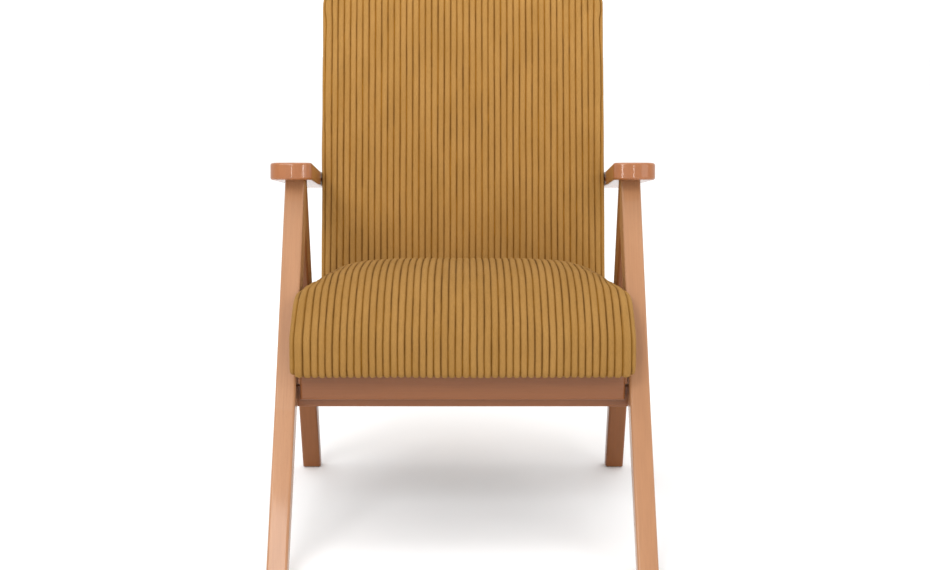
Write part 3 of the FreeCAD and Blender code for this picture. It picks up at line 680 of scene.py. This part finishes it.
def make_seat():
    low, high = turned_box("seat_cover", SEAT_TILT)
    to_chair = turned(SEAT_TILT)
    lean = BACK_LEAN - SEAT_TILT
    half = BEFORE_LEGS
    feet_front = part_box("front_leg_left")[0].y
    cad_front_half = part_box("seat_cover")[1].x
    cad_rear_half = cad_front_half - CAD_SQUEEZE

    def reshape(point):
        """One width from front to rear. The cloth narrows between the legs once it is laid."""
        ahead = before_legs(np.array(to_chair @ point), feet_front)
        cad_half = cad_front_half if ahead > 0.001 else cad_rear_half
        return Vector((point.x * half / cad_half, point.y, point.z))

    def crown(points):
        """The top falls away towards both sides, more so to the rear, the brow is softer than the foam's, and
        the front lip hangs down."""
        x, y, z = points.T
        behind = y - low.y
        rearward = eased_step(behind, 0.04, 0.24)
        up = np.clip((z - low.z - 0.012) / 0.125, 0.0, 1.0)
        z -= between(SEAT_FALL, rearward) * np.abs(x / half) ** between(SEAT_FALL_POWER, rearward) * up
        z -= BROW_DROP * np.exp(-((behind - BROW_AT) / BROW_WIDTH) ** 2) * up
        lip = (1.0 - eased_step(z - low.z, 0.0, 0.06)) * (1.0 - eased_step(behind, 0.020, 0.042))
        z -= LIP_DROP * lip

    def held(point):
        """The underside lies on the frame and the rear on the back, so neither swells."""
        on_frame = point[2] < low.z + 0.008
        rear = high.y - (high.z - 0.025 - point[2]) * math.tan(lean)
        return 1.0 if on_frame or point[1] > rear - 0.014 else 0.0

    def fit(points):
        """The sides are squeezed between the front legs, and free to spread in front of them."""
        squeezed = 1.0 - eased_step(before_legs(points, feet_front), 0.0, SQUEEZE_AHEAD)
        outer = eased_step(np.abs(points[:, 0]), half - SQUEEZE_INWARD, half)
        points[:, 0] -= np.sign(points[:, 0]) * (half - BETWEEN_LEGS) * squeezed * outer
        return points

    room = ((-0.002, -0.002), (-0.001, 0.003), (0.0, 0.002))
    tree = swollen_tree("seat_form", "seat_cover", SEAT_TILT, room, reshape, crown, held, 0.006, half)
    front = low.y + 0.016
    base = low.z + 0.016
    top = low.z + 0.064
    brow = low.y + 0.087
    rear_top = high.y - 0.035
    rear_base = rear_top - (top - base) * math.tan(lean)
    wrap = 0.034
    rear_angle = -math.degrees(lean)
    stations = [
        (front + wrap, base, -90.0, 4),
        (front, base, -90.0, ARC_STEPS),
        (front, base, -180.0, 6),
        (front, base + 0.038, -180.0, 2 * ARC_STEPS),
        (brow, top + 0.005, -270.0, 42),
        (rear_top, top, -270.0, 6),
        (rear_top, top, -360.0 + rear_angle, 8),
        (rear_base, base, -360.0 + rear_angle, 5),
        (rear_base, base, -450.0, 4),
        (rear_base - wrap, base, -450.0, 1),
    ]
    # The seat's crests are toned darker than the back's: painted shade on the seat.
    cloth = corduroy("corduroy_seat", SEAT_TILT, 0.83, 1.0)
    seat = Cushion("seat", SEAT_TILT, tree, half, side_round=0.040, side_angle=1.3, along=1, fit=fit,
                   cloth=cloth, hem=low.z + 0.001)
    dress_cushion(seat, ("seat_cover", "seat_foam"), stations)


def make_back():
    low, high = turned_box("back_cover", BACK_LEAN)
    half = high.x - 0.0014

    def held(point):
        """The rear is stapled to the frame, and the lower end is closed flat."""
        return 1.0 if point[1] > high.y - 0.010 or point[2] < low.z + 0.010 else 0.0

    def crown(points):
        """The front is a little fuller in the middle than along its edges."""
        x, y, z = points.T
        across = 1.0 - np.abs(x / high.x) ** 4.0
        up = 1.0 - np.abs((z - low.z) / (high.z - low.z) * 2.0 - 1.0) ** 6.0
        ahead = 1.0 - eased_step(y - low.y, 0.005, 0.040)
        y += BACK_CROWN * (1.0 - across * up) * ahead

    def unchanged(value):
        return value

    room = ((-0.002, -0.002), (0.003, 0.001), (0.0, 0.001))
    tree = swollen_tree("back_form", "back_cover", BACK_LEAN, room, unchanged, crown, held, 0.005, half)
    front = low.y + 0.026
    rear = high.y - 0.014
    base = low.z + 0.012
    top = high.z - 0.040
    stations = [
        (front + 0.012, base, -90.0, 2),
        (front, base, -90.0, 6),
        (front, base, -180.0, 66),
        (front, top, -180.0, ARC_STEPS + 2),
        (front, top, -270.0, 5),
        (rear, top, -270.0, ARC_STEPS),
        (rear, top, -360.0, 66),
        (rear, base, -360.0, 5),
        (rear, base, -450.0, 2),
        (front + 0.012, base, -450.0, 1),
    ]
    # The back's crests and grooves are toned lighter: painted light on the back.
    cloth = corduroy("corduroy_back", BACK_LEAN, 1.04, 1.50)
    back = Cushion("back", BACK_LEAN, tree, half, side_round=0.026, side_angle=1.25, along=2, fit=unchanged,
                   cloth=cloth, hem=None)
    dress_cushion(back, ("back_cover", "back_foam"), stations)


# ---- studio --------------------------------------------------------------------------------------
def make_floor():
    n = Nodes("studio_floor")
    speck = n.noise(n.place((8.0, 8.0, 8.0)), 1.0, 2.0)
    material = n.finish(n.ramp(speck, (0.3, (0.895, 0.895, 0.895)), (0.7, (0.905, 0.905, 0.905))), 0.9,
                        Specular_IOR_Level=0.1)
    size = 12.0
    floor = new_object("floor", [(-size, -size, 0), (size, -size, 0), (size, size, 0), (-size, size, 0)],
                       [(0, 1, 2, 3)], smooth=False)
    floor.data.materials.append(material)


def make_light(name, location, target, size, power):
    """A soft box, width by height, that isn't itself seen by the camera."""
    data = bpy.data.lights.new(name, "AREA")
    data.energy = power
    data.shape = "RECTANGLE"
    data.size, data.size_y = size
    light = bpy.data.objects.new(name, data)
    light.location = location
    light.rotation_euler = (Vector(target) - Vector(location)).to_track_quat("-Z", "Y").to_euler()
    light.visible_camera = False
    collection.objects.link(light)


def make_studio():
    """White all round and above, greyer on the side that the chair faces, and soft boxes round the camera."""
    world = bpy.data.worlds.new("studio")
    bpy.context.scene.world = world
    world.use_nodes = True
    tree = world.node_tree
    facing = tree.nodes.new("ShaderNodeTexCoord")
    split = tree.nodes.new("ShaderNodeSeparateXYZ")
    share = tree.nodes.new("ShaderNodeMapRange")
    share.inputs["From Min"].default_value = -0.65
    share.inputs["From Max"].default_value = -0.25
    share.inputs["To Min"].default_value = 0.80
    share.inputs["To Max"].default_value = 1.22
    background = tree.nodes["Background"]
    background.inputs["Color"].default_value = (1.0, 1.0, 1.0, 1.0)
    tree.links.new(facing.outputs["Generated"], split.inputs["Vector"])
    tree.links.new(split.outputs["Y"], share.inputs["Value"])
    tree.links.new(share.outputs["Result"], background.inputs["Strength"])
    centre = (0.0, 0.0, 0.4)
    make_light("key", (-1.2, -3.0, 2.6), centre, (1.5, 1.5), 58.0)
    make_light("fill", (2.2, -2.8, 1.9), centre, (1.6, 1.6), 22.0)
    make_light("top", (0.0, 0.3, 3.2), centre, (2.2, 2.2), 34.0)
    make_light("strip_left", (-0.62, -3.3, 0.75), (-0.28, 0.0, 0.55), (0.07, 1.4), 7.0)
    make_light("strip_right", (0.62, -3.3, 0.75), (0.28, 0.0, 0.55), (0.07, 1.4), 7.0)


def make_camera():
    """Eye height, distance and aim of the camera, from the front feet. The picture is 930 x 570."""
    feet_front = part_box("front_leg_left")[0].y
    data = bpy.data.cameras.new("camera")
    data.sensor_width = 36.0
    data.lens = 61.94
    camera = bpy.data.objects.new("camera", data)
    camera.location = (0.0037, feet_front - 2.249, 0.929)
    camera.rotation_euler = (math.radians(90.0 - 11.72), 0.0, 0.0)
    collection.objects.link(camera)
    bpy.context.scene.camera = camera


def main():
    bpy.context.scene.view_settings.view_transform = "Standard"
    dress_frame()
    make_seat()
    make_back()
    make_floor()
    make_studio()
    make_camera()
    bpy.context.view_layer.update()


main()
